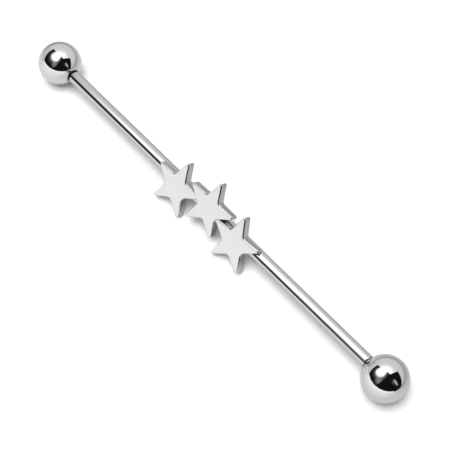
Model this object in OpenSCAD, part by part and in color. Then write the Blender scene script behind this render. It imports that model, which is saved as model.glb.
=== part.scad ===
// Industrial barbell: a long straight bar with a screw-on ball at each end and
// a cut plate of three joined stars soldered along its middle. It is drawn as it
// lies by itself: on both balls and on the lowest star tip, with the bar level.
// +X runs along the bar, +Z is up, and the floor is z = 0.

/* [Bar] */
// Diameter of the bar
bar_d = 1.2; // [1:0.1:1.6]
// Length of bar that shows between the two balls
wear_len = 38; // [28:1:46]
// Diameter of the threaded end, drawn plain
thread_d = 0.9; // [0.7:0.05:0.95]
// Length of the threaded end
thread_len = 2.2; // [1.4:0.1:2.4]
// Chamfer on the tip of the threaded end
thread_chamfer = 0.15; // [0.05:0.05:0.25]

/* [Balls] */
// Diameter of each ball
ball_d = 4; // [3.6:0.2:5]
// Depth of the recess that the end of the bar sinks into, from its rim
recess_depth = 0.3; // [0.1:0.05:0.5]
// Width of the open ring between the bar and the wall of the recess
recess_gap = 0.1; // [0.04:0.02:0.2]
// Clearance around the threaded end, on the radius
thread_gap = 0.04; // [0.02:0.01:0.08]
// Clearance between the shoulder of the bar and the floor of the recess
seat_gap = 0.04; // [0.02:0.01:0.1]
// Depth left past the tip of the threaded end
tip_room = 0.25; // [0.1:0.05:0.4]

/* [Star plate] */
// Thickness of the plate
plate_t = 0.8; // [0.6:0.1:1.2]
// Depth that the bar is let into the back of the plate
plate_sink = 0.5; // [0.2:0.05:0.55]
// Reach of a star's pointed tip from its centre, before rounding
star_r = 2.82; // [2.6:0.02:3.1]
// Distance of a star's inner corners from its centre, before rounding
notch_r = 1.17; // [1:0.01:1.35]
// Rounding of the star tips
tip_round = 0.12; // [0.05:0.01:0.2]
// Rounding of the inner corners
notch_round = 0.35; // [0.1:0.05:0.5]
// Distance between neighbouring stars, along the bar
star_pitch = 3.7; // [3.5:0.05:3.9]
// Offset of the stars to either side of the plate's middle line
star_zigzag = 0.39; // [0.2:0.01:0.6]
// Offset of the plate's middle line from the bar
plate_shift = 0.05; // [-0.2:0.01:0.2]
// Offset of the middle star from the middle of the bar
plate_along = 0.08; // [-6:0.01:6]

/* [Hidden] */

// Each star: steps along the bar, side of the zigzag, turn in degrees
STARS = [
    [-1, -1, 0],
    [0, 1, 1],
    [1, -1, 6]
];
STEP = 0;
SIDE = 1;
TURN = 2;

POINTS = 5;
POINT_STEP = 360 / POINTS;
ROUND_FACETS = 96;
ARC_STEPS = 5;
OVERCUT = 0.5;

bar_r = bar_d / 2;
thread_r = thread_d / 2;
ball_r = ball_d / 2;

// Along the bar: ball centres, rim and floor of the recess, shoulder and thread
ball_x = wear_len / 2 + sqrt(pow(ball_r, 2) - pow(bar_r, 2));
recess_r = bar_r + recess_gap;
recess_rim = sqrt(pow(ball_r, 2) - pow(recess_r, 2));
recess_floor = recess_rim - recess_depth;
shoulder_x = ball_x - recess_floor - seat_gap;
thread_end_x = shoulder_x + thread_len;
bore_r = thread_r + thread_gap;
bore_depth = seat_gap + thread_len + tip_room;

// Across the plate: the back lies just above the axis of the bar
plate_back = bar_r - plate_sink;
plate_front = plate_back + plate_t;

// Half angle of a tip, and half angle of the open notch between two tips
half_point = POINT_STEP / 2;
tip_half = atan2(notch_r * sin(half_point), star_r - notch_r * cos(half_point));
notch_half = half_point + tip_half;
tip_centre_r = star_r - tip_round / sin(tip_half);
notch_centre_r = notch_r + notch_round / sin(notch_half);

function star_x(s) = plate_along + s[STEP] * star_pitch;
function star_y(s) = plate_shift + s[SIDE] * star_zigzag;
function tip_angle(s, k) = 90 + s[TURN] + k * POINT_STEP;
function polar(r, a) = [r * cos(a), r * sin(a)];

// Reach of the plate to either side of the bar
tip_sides = [
    for (s = STARS, k = [0:POINTS - 1])
        star_y(s) + tip_centre_r * sin(tip_angle(s, k))
];
reach_low = min(tip_sides) - tip_round;
reach_high = max(tip_sides) + tip_round;

// Roll at rest: the back edge of the lowest tip meets the floor under the balls.
// Stars too short to reach the floor hang with the plate upright.
tip_reach = norm([plate_back, reach_low]);
rest_roll = tip_reach > ball_r
    ? asin(ball_r / tip_reach) + atan2(plate_back, -reach_low)
    : 90;

// Place of the bar that centres the whole part on the origin
low_y = min(-ball_r, reach_low * cos(rest_roll) - plate_front * sin(rest_roll));
high_y = max(ball_r, reach_high * cos(rest_roll) - plate_back * sin(rest_roll));
rest_y = -(low_y + high_y) / 2;

// Rounded corner, as points on an arc from one angle to another
function corner(centre, r, from, to) = [
    for (i = [0:ARC_STEPS])
        centre + polar(r, from + (to - from) * i / ARC_STEPS)
];

function star_tip(a) =
    corner(polar(tip_centre_r, a), tip_round, a - 90 + tip_half, a + 90 - tip_half);

function star_notch(a) =
    corner(
        polar(notch_centre_r, a), notch_round,
        a + 270 - notch_half, a + 90 + notch_half
    );

module star_outline(s) {
    translate([star_x(s), star_y(s)])
        polygon([
            for (k = [0:POINTS - 1])
                each concat(
                    star_tip(tip_angle(s, k)),
                    star_notch(tip_angle(s, k) + half_point)
                )
        ]);
}

module star_plate() {
    translate([0, 0, plate_back])
        linear_extrude(height = plate_t)
            for (s = STARS) star_outline(s);
}

// Cylinder or cone along +X, from x over a length
module rod(x, length, r_start, r_end) {
    translate([x, 0, 0])
        rotate([0, 90, 0])
            cylinder(h = length, r1 = r_start, r2 = r_end, $fn = ROUND_FACETS);
}

module bar() {
    straight = thread_end_x - thread_chamfer;
    rod(-shoulder_x, 2 * shoulder_x, bar_r, bar_r);
    rod(-straight, 2 * straight, thread_r, thread_r);
    rod(straight, thread_chamfer, thread_r, thread_r - thread_chamfer);
    rod(-thread_end_x, thread_chamfer, thread_r - thread_chamfer, thread_r);
}

// Ball centred on the origin, with its hole towards -X
module ball() {
    difference() {
        sphere(d = ball_d, $fn = ROUND_FACETS);
        rod(-ball_d, ball_d - recess_floor, recess_r, recess_r);
        rod(-recess_floor - OVERCUT, bore_depth + OVERCUT, bore_r, bore_r);
    }
}

module at_rest() {
    translate([0, rest_y, ball_r]) children();
}

module bar_with_stars() {
    color("silver")
        at_rest()
            rotate([rest_roll, 0, 0]) {
                bar();
                star_plate();
            }
}

module ball_left() {
    color("gainsboro")
        at_rest()
            translate([-ball_x, 0, 0])
                rotate([0, 0, 180])
                    ball();
}

module ball_right() {
    color("gainsboro")
        at_rest()
            translate([ball_x, 0, 0])
                ball();
}

bar_with_stars();
ball_left();
ball_right();
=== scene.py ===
# Industrial barbell: a long polished bar with a screw-on ball at each end and a
# cut plate of three joined stars soldered along its middle, lying on a pale table.
import bpy
import bmesh
from math import asin, atan2, cos, hypot, pi, radians, sin, sqrt, tan
from mathutils import Matrix, Vector


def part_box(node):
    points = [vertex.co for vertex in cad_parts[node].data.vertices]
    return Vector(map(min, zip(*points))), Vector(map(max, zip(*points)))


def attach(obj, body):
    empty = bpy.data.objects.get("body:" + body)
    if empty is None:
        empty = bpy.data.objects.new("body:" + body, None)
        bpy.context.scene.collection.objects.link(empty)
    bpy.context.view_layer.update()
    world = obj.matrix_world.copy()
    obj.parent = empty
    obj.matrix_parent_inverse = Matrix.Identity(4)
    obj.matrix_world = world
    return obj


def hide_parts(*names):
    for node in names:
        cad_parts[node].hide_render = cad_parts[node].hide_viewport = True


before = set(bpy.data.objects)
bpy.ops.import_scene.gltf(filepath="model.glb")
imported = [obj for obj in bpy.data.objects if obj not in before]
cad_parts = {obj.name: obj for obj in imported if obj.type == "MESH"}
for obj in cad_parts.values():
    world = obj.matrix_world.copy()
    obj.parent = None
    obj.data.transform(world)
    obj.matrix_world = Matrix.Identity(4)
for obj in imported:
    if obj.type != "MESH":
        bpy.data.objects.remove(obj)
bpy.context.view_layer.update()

mm = 0.001
near = 1e-7  # places closer than this, in metres, count as one


# Small helpers for working by hand in object and edit mode

def activate(piece):
    bpy.ops.object.select_all(action="DESELECT")
    piece.select_set(True)
    bpy.context.view_layer.objects.active = piece


def openPiece(piece):
    activate(piece)
    bpy.ops.object.mode_set(mode="EDIT")
    bpy.ops.mesh.select_mode(type="FACE")
    bpy.ops.mesh.select_all(action="DESELECT")


def closePiece(outwards=True):
    if outwards:
        bpy.ops.mesh.select_all(action="SELECT")
        bpy.ops.mesh.normals_make_consistent(inside=False)
    bpy.ops.object.mode_set(mode="OBJECT")


# Selects the verts, edges or faces of the open piece that pass a test
def choose(kind, test):
    piece = bpy.context.object
    bpy.ops.mesh.select_mode(type={"verts": "VERT", "edges": "EDGE", "faces": "FACE"}[kind])
    bpy.ops.mesh.select_all(action="DESELECT")
    shape = bmesh.from_edit_mesh(piece.data)
    for part in getattr(shape, kind):
        if test(part):
            part.select_set(True)
    shape.select_flush_mode()
    bmesh.update_edit_mesh(piece.data)


def extrudeBy(x, y, z):
    bpy.ops.mesh.extrude_region_move(TRANSFORM_OT_translate={"value": (x, y, z)})


# Names the primitive or copy that was just added
def startPiece(name):
    piece = bpy.context.object
    piece.name = name
    piece.data.name = name
    return piece


# Puts a piece at its place and turn, and leaves its object at the origin
def settle(piece, place=(0, 0, 0), turn=(0, 0, 0)):
    activate(piece)
    piece.location = place
    piece.rotation_euler = turn
    bpy.ops.object.transform_apply(location=True, rotation=True, scale=True)


def copyPiece(piece, name):
    activate(piece)
    bpy.ops.object.duplicate(linked=False)
    return startPiece(name)


def applyModifier(piece, kind, **settings):
    activate(piece)
    modifier = piece.modifiers.new(kind.title(), kind)
    for setting, value in settings.items():
        setattr(modifier, setting, value)
    bpy.ops.object.modifier_apply(modifier=modifier.name)


def smooth(piece, angle=35):
    activate(piece)
    bpy.ops.object.shade_smooth_by_angle(angle=radians(angle))


# Gives the selected faces of the open piece another finish
def finishFaces(material):
    piece = bpy.context.object
    if material.name not in piece.data.materials:
        piece.data.materials.append(material)
    piece.active_material_index = piece.data.materials.find(material.name)
    bpy.ops.object.material_slot_assign()


# Keeps large flats flat next to small rounded edges
def steadyNormals(piece):
    applyModifier(piece, "WEIGHTED_NORMAL", mode="FACE_AREA", weight=80, keep_sharp=True)


# Carries the selected open rim of a turned piece on through (x, radius) stations
def turnRim(x, radius, stations):
    for nextX, nextRadius in stations:
        extrudeBy(nextX - x, 0, 0)
        grow = nextRadius / radius
        bpy.ops.transform.resize(value=(1, grow, grow), center_override=(nextX, 0, 0))
        x, radius = nextX, nextRadius


# Shader maths: a Wire is one socket that can be added, multiplied and so on

class Wire:
    def __init__(self, shader, socket):
        self.shader = shader
        self.socket = socket

    def __add__(self, other):
        return self.shader.maths("ADD", self, other)

    def __radd__(self, other):
        return self.shader.maths("ADD", other, self)

    def __sub__(self, other):
        return self.shader.maths("SUBTRACT", self, other)

    def __rsub__(self, other):
        return self.shader.maths("SUBTRACT", other, self)

    def __mul__(self, other):
        return self.shader.maths("MULTIPLY", self, other)

    def __rmul__(self, other):
        return self.shader.maths("MULTIPLY", other, self)

    def __truediv__(self, other):
        return self.shader.maths("DIVIDE", self, other)

    def __rtruediv__(self, other):
        return self.shader.maths("DIVIDE", other, self)


# The nodes of a material or of the world
class Shader:
    def __init__(self, owner):
        self.owner = owner
        owner.use_nodes = True
        self.tree = owner.node_tree
        self.tree.nodes.clear()

    def node(self, kind, settings=None, sockets=None, out=0):
        made = self.tree.nodes.new(kind)
        for setting, value in (settings or {}).items():
            if setting == "stops":
                self.fillRamp(made.color_ramp, value)
            else:
                setattr(made, setting, value)
        for name, value in (sockets or {}).items():
            if isinstance(value, Wire):
                self.tree.links.new(value.socket, made.inputs[name])
            else:
                made.inputs[name].default_value = value
        return Wire(self, made.outputs[out]) if made.outputs else made

    def fillRamp(self, ramp, stops):
        while len(ramp.elements) < len(stops):
            ramp.elements.new(1)
        for element, (place, shade) in zip(ramp.elements, stops):
            element.position = place
            element.color = (shade, shade, shade, 1)

    def maths(self, operation, first, second):
        return self.node("ShaderNodeMath", {"operation": operation}, {0: first, 1: second})

    # Object coordinates in millimetres, stretched along each axis
    def place(self, stretch=(1, 1, 1)):
        coords = self.node("ShaderNodeTexCoord", out="Object")
        scale = tuple(part / mm for part in stretch)
        return self.node("ShaderNodeMapping", {}, {"Vector": coords, "Scale": scale})

    def axis(self, vector, name):
        return self.node("ShaderNodeSeparateXYZ", {}, {"Vector": vector}, out=name)

    def distance(self, where, point):
        return self.node(
            "ShaderNodeVectorMath", {"operation": "DISTANCE"}, {0: where, 1: point}, out="Value",
        )

    def noise(self, where, scale, detail=3, rough=0.5):
        return self.node("ShaderNodeTexNoise", {}, {
            "Vector": where, "Scale": scale, "Detail": detail, "Roughness": rough,
        }, out="Fac")

    def colour(self, red, green, blue):
        return self.node("ShaderNodeCombineColor", {}, {"Red": red, "Green": green, "Blue": blue})

    # Turns a value from 0 to 1 into the levels of (value, level) stops, also above 1
    def levels(self, value, stops):
        top = max(level for _, level in stops)
        shares = [(place, level / top) for place, level in stops]
        return self.node("ShaderNodeValToRGB", {"stops": shares}, {"Fac": value}, out="Color") * top

    def isRay(self, kind):
        return self.node("ShaderNodeLightPath", out="Is " + kind + " Ray")


# How far a value has come from the start to the end of a span
def along(value, span):
    start, end = span
    return (value - start) / (end - start)


print("Helpers ready")


# Polished surgical steel

steelSettings = {
    "tone": 0.62,          # how much light the bare metal returns
    "toneDrift": 0.03,     # slow change of tone over the surface
    "lineTone": 0.02,      # change of tone from line to line
    "blue": 0.998,         # blue of the tone, as a share of its red and green
    "shine": 0.035,        # roughness of the best polished parts
    "haze": 0.04,          # extra roughness where the polish is weaker
    "lineDepth": 0.00012,  # depth of the polishing lines, mm
    "wave": 0.0006,        # depth of the slow waves left by the wheel, mm
    "driftScale": 0.35,    # size of each pattern, per mm
    "hazeScale": 1.4,
    "waveScale": 0.8,
}


# Steel with fine polishing lines, given by how closely they change along X, Y and Z
def polishedSteel(name, lines, **changes):
    s = {**steelSettings, **changes}
    steel = Shader(bpy.data.materials.new(name))
    even = steel.place()
    drift = steel.noise(even, s["driftScale"], detail=2)
    cloud = steel.noise(even, s["hazeScale"], detail=4, rough=0.6)
    line = steel.noise(steel.place(lines), 1, detail=5, rough=0.65)
    wave = steel.noise(even, s["waveScale"], detail=1)
    tone = s["tone"] + s["toneDrift"] * (drift - 0.5) + s["lineTone"] * (line - 0.5)
    colour = steel.colour(tone, tone, tone * s["blue"])
    rough = s["shine"] + s["haze"] * cloud * line
    height = (s["lineDepth"] * line + s["wave"] * wave) * mm
    bump = steel.node("ShaderNodeBump", {}, {"Strength": 1, "Distance": 1, "Height": height})
    body = steel.node("ShaderNodeBsdfPrincipled", {}, {
        "Base Color": colour, "Metallic": 1, "Roughness": rough, "Normal": bump,
    })
    steel.node("ShaderNodeOutputMaterial", {}, {"Surface": body})
    return steel.owner


ballSteel = polishedSteel("ball_steel_mirror", lines=(14, 3, 3), shine=0.03, haze=0.03)
barSteel = polishedSteel("bar_steel_drawn", lines=(18, 2, 2), tone=0.54)
plateSteel = polishedSteel("plate_steel_lapped", lines=(2, 22, 22), tone=0.67, shine=0.2, haze=0.06)
rimSteel = polishedSteel("rim_steel_rolled", lines=(2, 22, 22), shine=0.06, haze=0.06)
threadSteel = polishedSteel("thread_steel_cut", lines=(30, 4, 4), shine=0.12, haze=0.12)
wallSteel = polishedSteel(
    "wall_steel_cut", lines=(9, 9, 1.5), tone=0.52, shine=0.07, haze=0.12, lineDepth=0.0005,
)
lipSteel = polishedSteel("lip_steel_faced", lines=(3, 12, 12), tone=0.68, shine=0.24, haze=0.14)
# Turned bore steel darkened to tone 0.1: painted shade in the hollows (the bore, the recess and the
# bar's neck), on rougher unpolished steel
boreSteelPaintedShade = polishedSteel("bore_steel_turned_painted_shade", lines=(30, 3, 3), tone=0.1, shine=0.25, haze=0.2)
print("Steel made")


# Where things lie, from the frame

lowBall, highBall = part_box("ball_right")
ballRadius = (highBall.z - lowBall.z) / 2
ballX = highBall.x - ballRadius
barY = (lowBall.y + highBall.y) / 2
barZ = ballRadius
mouthX = lowBall.x  # rim of the recess in the right ball


# Bar with its threaded ends

barSettings = {
    "radius": 0.6 * mm,
    "sides": 128,
    "rings": (0.25, 0.5, 0.75, 0.98, 0.99),  # cuts across each half, as shares of its length
    "shoulderOut": {-1: 0.22 * mm, 1: 0.09 * mm},  # how far outside its ball each shoulder ends
    "shoulderRound": 0.02 * mm,
    "taper": 0.05 * mm,         # from the shoulder down to the neck
    "neck": 0.45 * mm,
    "neckLength": 0.25 * mm,
    "threadStart": 0.1 * mm,    # past the mouth of the ball
    "endX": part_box("bar_with_stars")[1].x,
    "crest": 0.445 * mm,
    "crestHalf": 0.04 * mm,     # half the width of a crest
    "root": 0.36 * mm,
    "pitch": 0.2 * mm,
    "pitchCuts": 5,             # points across one pitch, between its ends
    "threadSteps": 48,          # and points round one turn
    "tip": 0.15 * mm,          # length of the plain cone at the end
    "tipRadius": 0.27 * mm,
}


def makeThread(s):
    pitch = s["pitch"]
    start = mouthX + s["threadStart"]
    straight = s["endX"] - s["tip"]
    turns = int((straight - start) / pitch) + 3  # some to cut off at each end
    firstX = start - pitch
    bpy.ops.mesh.primitive_plane_add(size=pitch, location=(0, 0, 0))
    thread = startPiece("thread")
    openPiece(thread)
    choose("verts", lambda v: v.co.y > 0)
    bpy.ops.mesh.delete(type="VERT")
    bpy.ops.mesh.select_all(action="SELECT")
    bpy.ops.transform.translate(value=(firstX, pitch / 2 + s["root"], 0))
    bpy.ops.mesh.subdivide(number_cuts=s["pitchCuts"])
    choose("verts", lambda v: abs(v.co.x - firstX) < s["crestHalf"])
    bpy.ops.transform.translate(value=(0, s["crest"] - s["root"], 0))
    closePiece(outwards=False)
    applyModifier(
        thread, "SCREW", axis="X", screw_offset=pitch, iterations=turns,
        steps=s["threadSteps"], render_steps=s["threadSteps"], use_merge_vertices=False,
    )
    openPiece(thread)
    bpy.ops.mesh.select_all(action="SELECT")
    bpy.ops.mesh.remove_doubles(threshold=near)
    for x, side in ((start, 1), (straight, -1)):
        bpy.ops.mesh.select_all(action="SELECT")
        bpy.ops.mesh.bisect(
            plane_co=(x, 0, 0), plane_no=(side, 0, 0), use_fill=True, clear_inner=True,
        )
    choose("faces", lambda f: f.normal.x > 0.9 and f.calc_center_median().x > straight - near)
    extrudeBy(s["tip"], 0, 0)
    shrink = s["tipRadius"] / s["crest"]
    bpy.ops.transform.resize(value=(1, shrink, shrink), center_override=(s["endX"], 0, 0))
    closePiece()
    smooth(thread, 30)
    thread.data.materials.append(threadSteel)
    return thread


def makeBar(s):
    shoulders = {side: side * (mouthX - out) for side, out in s["shoulderOut"].items()}
    bpy.ops.mesh.primitive_cylinder_add(
        vertices=s["sides"], radius=s["radius"], depth=shoulders[1] - shoulders[-1],
        end_fill_type="NGON", rotation=(0, pi / 2, 0), location=(sum(shoulders.values()) / 2, 0, 0),
    )
    bar = startPiece("polished_bar")
    settle(bar, place=bar.location, turn=bar.rotation_euler)
    openPiece(bar)
    bar.data.materials.append(barSteel)
    narrow = s["neck"] / s["radius"]
    for side, shoulder in shoulders.items():
        choose("faces", lambda f: f.normal.x * side > 0.9)
        extrudeBy(side * s["taper"], 0, 0)
        bpy.ops.transform.resize(value=(1, narrow, narrow), center_override=(shoulder, 0, 0))
        extrudeBy(side * s["neckLength"], 0, 0)
        choose("edges", lambda e: all(abs(v.co.x - shoulder) < near for v in e.verts))
        bpy.ops.mesh.bevel(offset=s["shoulderRound"], segments=2, affect="EDGES")
        for share in s["rings"]:
            bpy.ops.mesh.select_all(action="SELECT")
            bpy.ops.mesh.bisect(plane_co=(share * shoulder, 0, 0), plane_no=(1, 0, 0))
        past = shoulder + side * s["shoulderRound"] / 2
        # Past each shoulder the taper and neck take the dark bore steel, painted shade where they
        # sink into the ball
        choose("faces", lambda f: side * (f.calc_center_median().x - past) > 0)
        finishFaces(boreSteelPaintedShade)
    closePiece()
    smooth(bar)
    steadyNormals(bar)
    rightThread = makeThread(s)
    leftThread = copyPiece(rightThread, "thread_left")
    settle(leftThread, turn=(0, 0, pi))
    activate(bar)
    rightThread.select_set(True)
    leftThread.select_set(True)
    bpy.ops.object.join()
    settle(bar, place=(0, barY, barZ))
    return bar


bar = makeBar(barSettings)
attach(bar, "bar")
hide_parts("bar_with_stars")
print("Bar and threads turned")


# Star plate

plateSettings = {
    "thickness": 0.8 * mm,
    "back": 0.1 * mm,         # above the middle of the bar
    "reach": 2.9176 * mm,     # from a star's centre to its tips, before rounding
    "notch": 1.17 * mm,       # and to its inner corners
    "tipRound": 0.16 * mm,
    "notchRound": 0.35 * mm,
    "cornerSteps": 8,
    "frontRound": 0.11 * mm,  # rim rolled over by the polishing wheel
    "frontSteps": 6,
    "backRound": 0.06 * mm,
    "backSteps": 3,
    "pitch": 3.7 * mm,
    "zigzag": 0.39 * mm,
    "shift": 0.05 * mm,
    "along": 0.08 * mm,
    "stars": ((-1, -1, 0), (0, 1, 1), (1, -1, 6)),  # step, side and turn of each
    "faceLevel": 0.998,       # a normal that points up by more than this is the flat front's,
    "wallLevel": 0.1,         # and one by less than this the wall's or the back's
}

points = 5
halfPoint = pi / points


# Half angle of a tip, and of the open notch between two tips
def cornerAngles(s):
    tip = atan2(s["notch"] * sin(halfPoint), s["reach"] - s["notch"] * cos(halfPoint))
    return tip, halfPoint + tip


# Roll of the bar at rest: the lowest star tip meets the table under the balls
def restRoll(s):
    tipHalf, _ = cornerAngles(s)
    centre = s["reach"] - s["tipRound"] / sin(tipHalf)
    lowest = min(
        s["shift"] + side * s["zigzag"] + centre * sin(pi / 2 + radians(turn) + k * 2 * halfPoint)
        for _, side, turn in s["stars"] for k in range(points)
    ) - s["tipRound"]
    return asin(ballRadius / hypot(s["back"], lowest)) + atan2(s["back"], -lowest)


# Rolls the rim of the selected flat face over in steps of a quarter circle
def rollRim(radius, steps):
    for k in range(steps):
        low, high = (pi / 2 * i / steps for i in (k, k + 1))
        bpy.ops.mesh.inset(
            thickness=radius * (cos(low) - cos(high)), depth=radius * (sin(high) - sin(low)),
            use_even_offset=True,
        )


def makeStar(s):
    tipHalf, notchHalf = cornerAngles(s)
    bpy.ops.mesh.primitive_circle_add(
        vertices=2 * points, radius=s["reach"], fill_type="NGON", location=(0, 0, s["backRound"]),
    )
    star = startPiece("star")
    settle(star, place=star.location)
    openPiece(star)

    # Tips lie at 90 degrees and every 72 from there, and inner corners halfway between
    def isNotch(v):
        return cos(points * (atan2(v.co.y, v.co.x) - pi / 2)) < 0

    # The edge between the front and the back of one corner
    def isCorner(e):
        first, second = (v.co.xy.normalized() for v in e.verts)
        return first.dot(second) > 0.999

    choose("verts", isNotch)
    inwards = s["notch"] / s["reach"]
    bpy.ops.transform.resize(value=(inwards, inwards, 1), center_override=(0, 0, s["backRound"]))
    bpy.ops.mesh.select_all(action="SELECT")
    extrudeBy(0, 0, s["thickness"] - s["frontRound"] - s["backRound"])
    bpy.ops.mesh.select_all(action="SELECT")
    bpy.ops.mesh.normals_make_consistent(inside=False)
    for half, radius, test in (
        (notchHalf, s["notchRound"], isNotch),
        (tipHalf, s["tipRound"], lambda v: not isNotch(v)),
    ):
        choose("edges", lambda e: isCorner(e) and test(e.verts[0]))
        # This profile makes the bevel a true arc round a corner of that half angle
        bpy.ops.mesh.bevel(
            offset_type="OFFSET", offset=radius / tan(half), segments=s["cornerSteps"],
            profile=(1 - 0.5 / (1 + sin(half))) ** 2, affect="EDGES", clamp_overlap=False,
        )
    choose("faces", lambda f: f.normal.z > 0.9)
    rollRim(s["frontRound"], s["frontSteps"])
    choose("faces", lambda f: f.normal.z < -0.9)
    rollRim(s["backRound"], s["backSteps"])
    closePiece()
    return star


def makePlate(s):
    pattern = makeStar(s)
    stars = []
    for step, side, turn in s["stars"]:
        star = copyPiece(pattern, "star_copy")
        settle(
            star, turn=(0, 0, radians(turn)),
            place=(s["along"] + step * s["pitch"], s["shift"] + side * s["zigzag"], s["back"]),
        )
        stars.append(star)
    plate, *others = stars
    plate.name = "star_plate"
    for other in others:
        applyModifier(plate, "BOOLEAN", operation="UNION", solver="EXACT", object=other)
    for spare in (pattern, *others):
        bpy.data.objects.remove(spare)
    openPiece(plate)
    bpy.ops.mesh.select_all(action="SELECT")
    bpy.ops.mesh.remove_doubles(threshold=near)
    bpy.ops.mesh.dissolve_limited(angle_limit=radians(1))
    closePiece()
    openPiece(plate)
    plate.data.materials.append(plateSteel)
    choose("faces", lambda f: f.normal.z < s["wallLevel"])
    finishFaces(wallSteel)
    choose("faces", lambda f: s["wallLevel"] < f.normal.z < s["faceLevel"])
    finishFaces(rimSteel)
    closePiece()
    smooth(plate)
    steadyNormals(plate)
    settle(plate, place=(0, barY, barZ), turn=(restRoll(s), 0, 0))
    return plate


plate = makePlate(plateSettings)
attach(plate, "bar")
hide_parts("bar_with_stars")
print("Star plate cut")


# Balls

ballSettings = {
    "segments": 160,
    "rings": 96,
    "lip": 0.86 * mm,         # outer radius of the faced ring round the hole,
    "lipRise": 0.015 * mm,    # which stands out this much at its inner edge
    "recess": 0.66 * mm,
    "recessFloor": -1.5735 * mm,  # along X from the middle of the ball
    "bore": 0.49 * mm,
    "boreDepth": 2.49 * mm,   # from the floor of the recess
    "groove": 0.025 * mm,
    "pitch": 0.2 * mm,
    "drillPoint": 0.2 * mm,   # depth of the cone at the end of the bore
    "drillTip": 0.05 * mm,    # radius of its last ring, which is merged into a point
    "skin": 0.01 * mm,        # what lies deeper than this isn't the round surface
}


# Ball centred on the origin with its hole towards -X
def makeBall(s):
    bpy.ops.mesh.primitive_uv_sphere_add(
        segments=s["segments"], ring_count=s["rings"], radius=ballRadius, rotation=(0, -pi / 2, 0),
    )
    ball = startPiece("screw_ball_right")
    settle(ball, turn=ball.rotation_euler)
    lipX = -sqrt(ballRadius ** 2 - s["lip"] ** 2)
    openPiece(ball)
    bpy.ops.mesh.select_all(action="SELECT")
    bpy.ops.mesh.bisect(plane_co=(lipX, 0, 0), plane_no=(1, 0, 0), clear_inner=True)
    choose("edges", lambda e: e.is_boundary)
    floorX = s["recessFloor"]
    boreEndX = floorX + s["boreDepth"] - s["drillPoint"]
    stations = [(lipX - s["lipRise"], s["recess"]), (floorX, s["recess"]), (floorX, s["bore"])]
    for turn in range(int((boreEndX - floorX) / s["pitch"])):
        grooveX = floorX + (turn + 0.5) * s["pitch"]
        stations.append((grooveX, s["bore"] - s["groove"]))
        stations.append((grooveX + s["pitch"] / 2, s["bore"]))
    stations.append((boreEndX, s["bore"]))
    stations.append((boreEndX + s["drillPoint"], s["drillTip"]))
    turnRim(lipX, s["lip"], stations)
    bpy.ops.mesh.merge(type="CENTER")
    ball.data.materials.append(ballSteel)

    def inside(f, reach):
        middle = f.calc_center_median()
        return middle.length < ballRadius - s["skin"] and hypot(middle.y, middle.z) < reach

    choose("faces", lambda f: inside(f, s["lip"]))
    finishFaces(lipSteel)
    # The recess and the bore take the dark bore steel, painted shade inside the hole
    choose("faces", lambda f: inside(f, s["recess"]))
    finishFaces(boreSteelPaintedShade)
    closePiece()
    smooth(ball)
    steadyNormals(ball)
    return ball


ballRight = makeBall(ballSettings)
ballLeft = copyPiece(ballRight, "screw_ball_left")
settle(ballRight, place=(ballX, barY, barZ))
settle(ballLeft, place=(-ballX, barY, barZ), turn=(0, 0, pi))
for ball, side in ((ballLeft, "left"), (ballRight, "right")):
    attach(ball, side + "_ball")
    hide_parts("ball_" + side)
print("Balls turned and bored")


# Table, and the painted shade that dims it where the steel mirrors it, darker towards the back and
# far to the left

tableSettings = {
    "size": 6.0,
    "shade": 0.88,
    "fibre": 0.004,        # change of shade from fibre to fibre
    "fibreScale": 0.6,
    # Painted shade of the table as the steel mirrors it, by place along each span
    "depthSpan": (-30, 40),  # from front to back, mm
    "depth": (
        (0.14, 0.83), (0.33, 0.76), (0.37, 0.65), (0.43, 0.637), (0.47, 0.586),
        (0.51, 0.548), (0.56, 0.49), (0.71, 0.382), (0.97, 0.33),
    ),
    "sideSpan": (-15, -51),  # from the left ball to the left, mm
    "side": (
        (0.0, 1.0), (0.11, 1.2), (0.2, 1.2), (0.36, 1.14),
        (0.55, 0.93), (0.72, 0.57), (0.86, 0.5), (1.0, 0.42),
    ),
    "behindSpan": (-7, 1),   # the change to the left is weaker in front, mm
    "behind": ((0.1, 0.35), (0.95, 1.0)),
}


def makeTable(s):
    bpy.ops.mesh.primitive_plane_add(size=s["size"])
    table = startPiece("table")
    paper = Shader(bpy.data.materials.new("table_paper"))
    where = paper.place()
    x, y = paper.axis(where, "X"), paper.axis(where, "Y")
    depth = paper.levels(along(y, s["depthSpan"]), s["depth"])
    side = paper.levels(along(x, s["sideSpan"]), s["side"])
    behind = paper.levels(along(y, s["behindSpan"]), s["behind"])
    mirroredPaintedShade = depth * (1 + (side - 1) * behind)
    pale = s["shade"] + s["fibre"] * paper.noise(where, s["fibreScale"])
    # Rays mirrored off the steel find the table darkened by this painted shade; the camera sees it
    # plain
    shade = pale * (1 - paper.isRay("Glossy") * (1 - mirroredPaintedShade))
    body = paper.node("ShaderNodeBsdfDiffuse", {}, {"Color": paper.colour(shade, shade, shade)})
    paper.node("ShaderNodeOutputMaterial", {}, {"Surface": body})
    table.data.materials.append(paper.owner)


# Cards that the steel mirrors, and soft light

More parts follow.
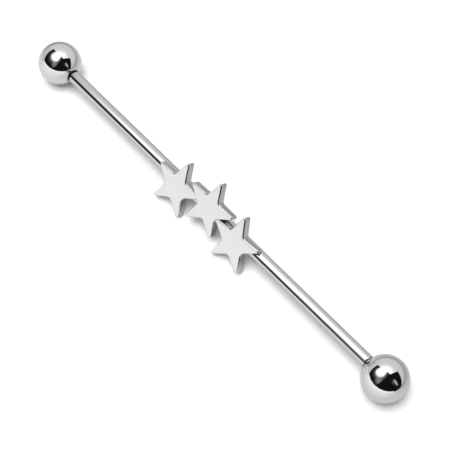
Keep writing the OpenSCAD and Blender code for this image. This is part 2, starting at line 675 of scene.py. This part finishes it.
# Corners are in mm: lower left, lower right, upper left, upper right
studioSettings = {
    "room": 0.012,      # what the steel mirrors where there is no card
    "sky": 0.42,        # soft light from all round, on the table only
    "backdrop": 0.9,    # what the camera sees past the table
    "lampPlace": (-17 * mm, -46 * mm, 300 * mm),
    "lampRadius": 155 * mm,
    "lampPower": 1.42,
    "sweepFoot": ((-300, 60, 0), (125, 38, 0), (-160, 30, 46), (68, 118, 95)),
    "sweepRoof": ((-160, 30, 46), (68, 118, 95), (-72, 14, 126), (58, 36, 178)),
    "sweepGlow": (      # by the height at which it is seen: brighter where it nears the lamp
        (0.0, 0.52), (0.10, 0.75), (0.30, 0.92), (0.68, 0.97),
        (0.77, 1.15), (0.87, 1.5), (0.91, 1.8), (0.95, 2.0),
    ),
    "leftWall": ((-110, -85, 0), (-118, 22, 0), (-110, -85, 21), (-118, 22, 84)),
    "leftGlow": (0.72, 0.95),    # at its foot and its top
    "frontRim": ((-110, -85, 0), (400, -85, 0), (-110, -85, 24), (400, -85, 29)),
    "frontGlow": (1.25, 1.35),
    "farWindow": ((200.6, -24, 36), (200.6, 58.5, 36), (127, -24, 148), (127, 58.5, 148)),
    "streak": {"glow": 0.75, "middle": (0.63, 0.55), "reach": (0.2, 0.42)},
    "haze": {"glow": 0.12, "middle": (0.35, 0.7), "reach": (0.35, 0.3)},
}

# Big tilted diffuser, with places on it given in mm across and up from its centre
panelSettings = {
    "centre": (-26.8, -29.2, 114.6),
    "across": (0.928, -0.371, 0),
    "up": (0.276, 0.691, 0.668),
    "corners": ((-120, -125), (77, -125), (-120, -4), (77, 132)),
    "disc": ((-10, 8), (-23, 38)),  # middle and upper end of its bright disc
    "discSpan": (0, 120),
    "discGlow": (
        (0.0, 2.4), (0.31, 2.2), (0.375, 1.5), (0.43, 0.88), (0.48, 0.43),
        (0.53, 0.19), (0.6, 0.07), (0.7, 0.02), (0.8, 0.0),
    ),
    "veil": (57, -50),              # middle of the faint light below the disc
    "veilSpan": (0, 60),
    "veilGlow": ((0.0, 0.3), (0.25, 0.26), (0.47, 0.15), (0.65, 0.05), (0.8, 0.0)),
}


# A card that only the steel sees
def makeCard(name, corners, glow, *details):
    bpy.ops.mesh.primitive_plane_add(size=1)
    card = startPiece(name)
    for vertex, corner in zip(card.data.vertices, corners):
        vertex.co = Vector(corner) * mm
    light = Shader(bpy.data.materials.new(name + "_glow"))
    shine = light.node("ShaderNodeEmission", {}, {"Strength": glow(light, *details)})
    light.node("ShaderNodeOutputMaterial", {}, {"Surface": shine})
    card.data.materials.append(light.owner)
    card.visible_camera = False
    card.visible_diffuse = False
    card.visible_shadow = False


def sweepGlow(light, stops):
    coords = light.node("ShaderNodeTexCoord", out="Object")
    unit = light.node("ShaderNodeVectorMath", {"operation": "NORMALIZE"}, {0: coords})
    return light.levels(light.axis(unit, "Z"), stops)


# Place on a card, from 0 to 1 along one of its sides
def overCard(light, axis):
    return light.axis(light.node("ShaderNodeTexCoord", out="UV"), axis)


def bandGlow(light, foot, top):
    return foot + (top - foot) * overCard(light, "Y")


# Light of the panel by the distance from its disc and its veil
def panelGlow(light, disc, veil, s, room):
    where = light.place()
    middle, upper = (light.distance(where, place) for place in disc)
    fromDisc = light.maths("MINIMUM", middle, upper)
    fromVeil = light.distance(where, veil)
    bright = light.levels(along(fromDisc, s["discSpan"]), s["discGlow"])
    faint = light.levels(along(fromVeil, s["veilSpan"]), s["veilGlow"])
    return bright + faint + room


# A dim window on the far side: a slanting streak with a patch of haze beside it
def windowGlow(light, streak, haze, room):
    place = overCard(light, "X"), overCard(light, "Y")

    # Squared distances across and up, over the reach of a spot
    def spread(spot):
        offs = [
            (value - middle) / reach
            for value, middle, reach in zip(place, spot["middle"], spot["reach"])
        ]
        return [off * off for off in offs]

    def onlyLight(value):
        return light.maths("MAXIMUM", value, 0)

    across, up = spread(streak)
    band = onlyLight(1 - across) * onlyLight(1 - up)
    across, up = spread(haze)
    patch = onlyLight(1 - across - up)
    return band * streak["glow"] + patch * haze["glow"] + room


def makeLamp(s):
    bpy.ops.object.light_add(type="AREA", location=s["lampPlace"])
    lamp = bpy.context.object
    lamp.name = "soft_lamp"
    lamp.data.shape = "DISK"
    lamp.data.size = 2 * s["lampRadius"]
    lamp.data.energy = s["lampPower"]
    lamp.rotation_euler = Vector(s["lampPlace"]).to_track_quat("Z", "Y").to_euler()
    lamp.visible_camera = False
    lamp.visible_glossy = False


def makeStudio(s, panel):
    makeCard("sweep_roof", s["sweepRoof"], sweepGlow, s["sweepGlow"])
    makeCard("sweep_foot", s["sweepFoot"], sweepGlow, s["sweepGlow"])
    makeCard("left_wall", s["leftWall"], bandGlow, *s["leftGlow"])
    makeCard("front_rim", s["frontRim"], bandGlow, *s["frontGlow"])

    def onPanel(place):
        across, up = place
        return Vector(panel["centre"]) + across * Vector(panel["across"]) + up * Vector(panel["up"])

    disc = [onPanel(place) for place in panel["disc"]]
    corners = [onPanel(place) for place in panel["corners"]]
    makeCard("soft_panel", corners, panelGlow, disc, onPanel(panel["veil"]), panel, s["room"])
    makeCard("far_window", s["farWindow"], windowGlow, s["streak"], s["haze"], s["room"])
    makeLamp(s)


# The air: pale to the eye, soft on the table, dark where the steel mirrors the room
def makeAir(s):
    air = Shader(bpy.data.worlds.new("air"))
    bpy.context.scene.world = air.owner
    lit = s["sky"] + air.isRay("Glossy") * (s["room"] - s["sky"])
    strength = lit + air.isRay("Camera") * (s["backdrop"] - lit)
    glow = air.node("ShaderNodeBackground", {}, {"Strength": strength})
    air.node("ShaderNodeOutputWorld", {}, {"Surface": glow})


makeTable(tableSettings)
makeStudio(studioSettings, panelSettings)
makeAir(studioSettings)
print("Table and light set")


# Camera

cameraSettings = {
    "place": (40.372 * mm, -34.061 * mm, 94.314 * mm),
    "azimuth": 48.34,
    "height": 60.94,
    "roll": -0.296,
    "lens": 98.74,
    "sensor": 36,
    "nearest": 0.001,
    "farthest": 50,
}


def makeCamera(s):
    turn = Matrix.Rotation(radians(s["azimuth"]), 3, "Z")
    tip = Matrix.Rotation(radians(90 - s["height"]), 3, "X")
    roll = Matrix.Rotation(radians(s["roll"]), 3, "Z")
    bpy.ops.object.camera_add(location=s["place"], rotation=(turn @ tip @ roll).to_euler())
    camera = bpy.context.object
    camera.data.lens = s["lens"]
    camera.data.sensor_width = s["sensor"]
    camera.data.clip_start = s["nearest"]
    camera.data.clip_end = s["farthest"]
    bpy.context.scene.camera = camera
    bpy.context.scene.view_settings.view_transform = "Standard"


makeCamera(cameraSettings)
print("Camera placed")
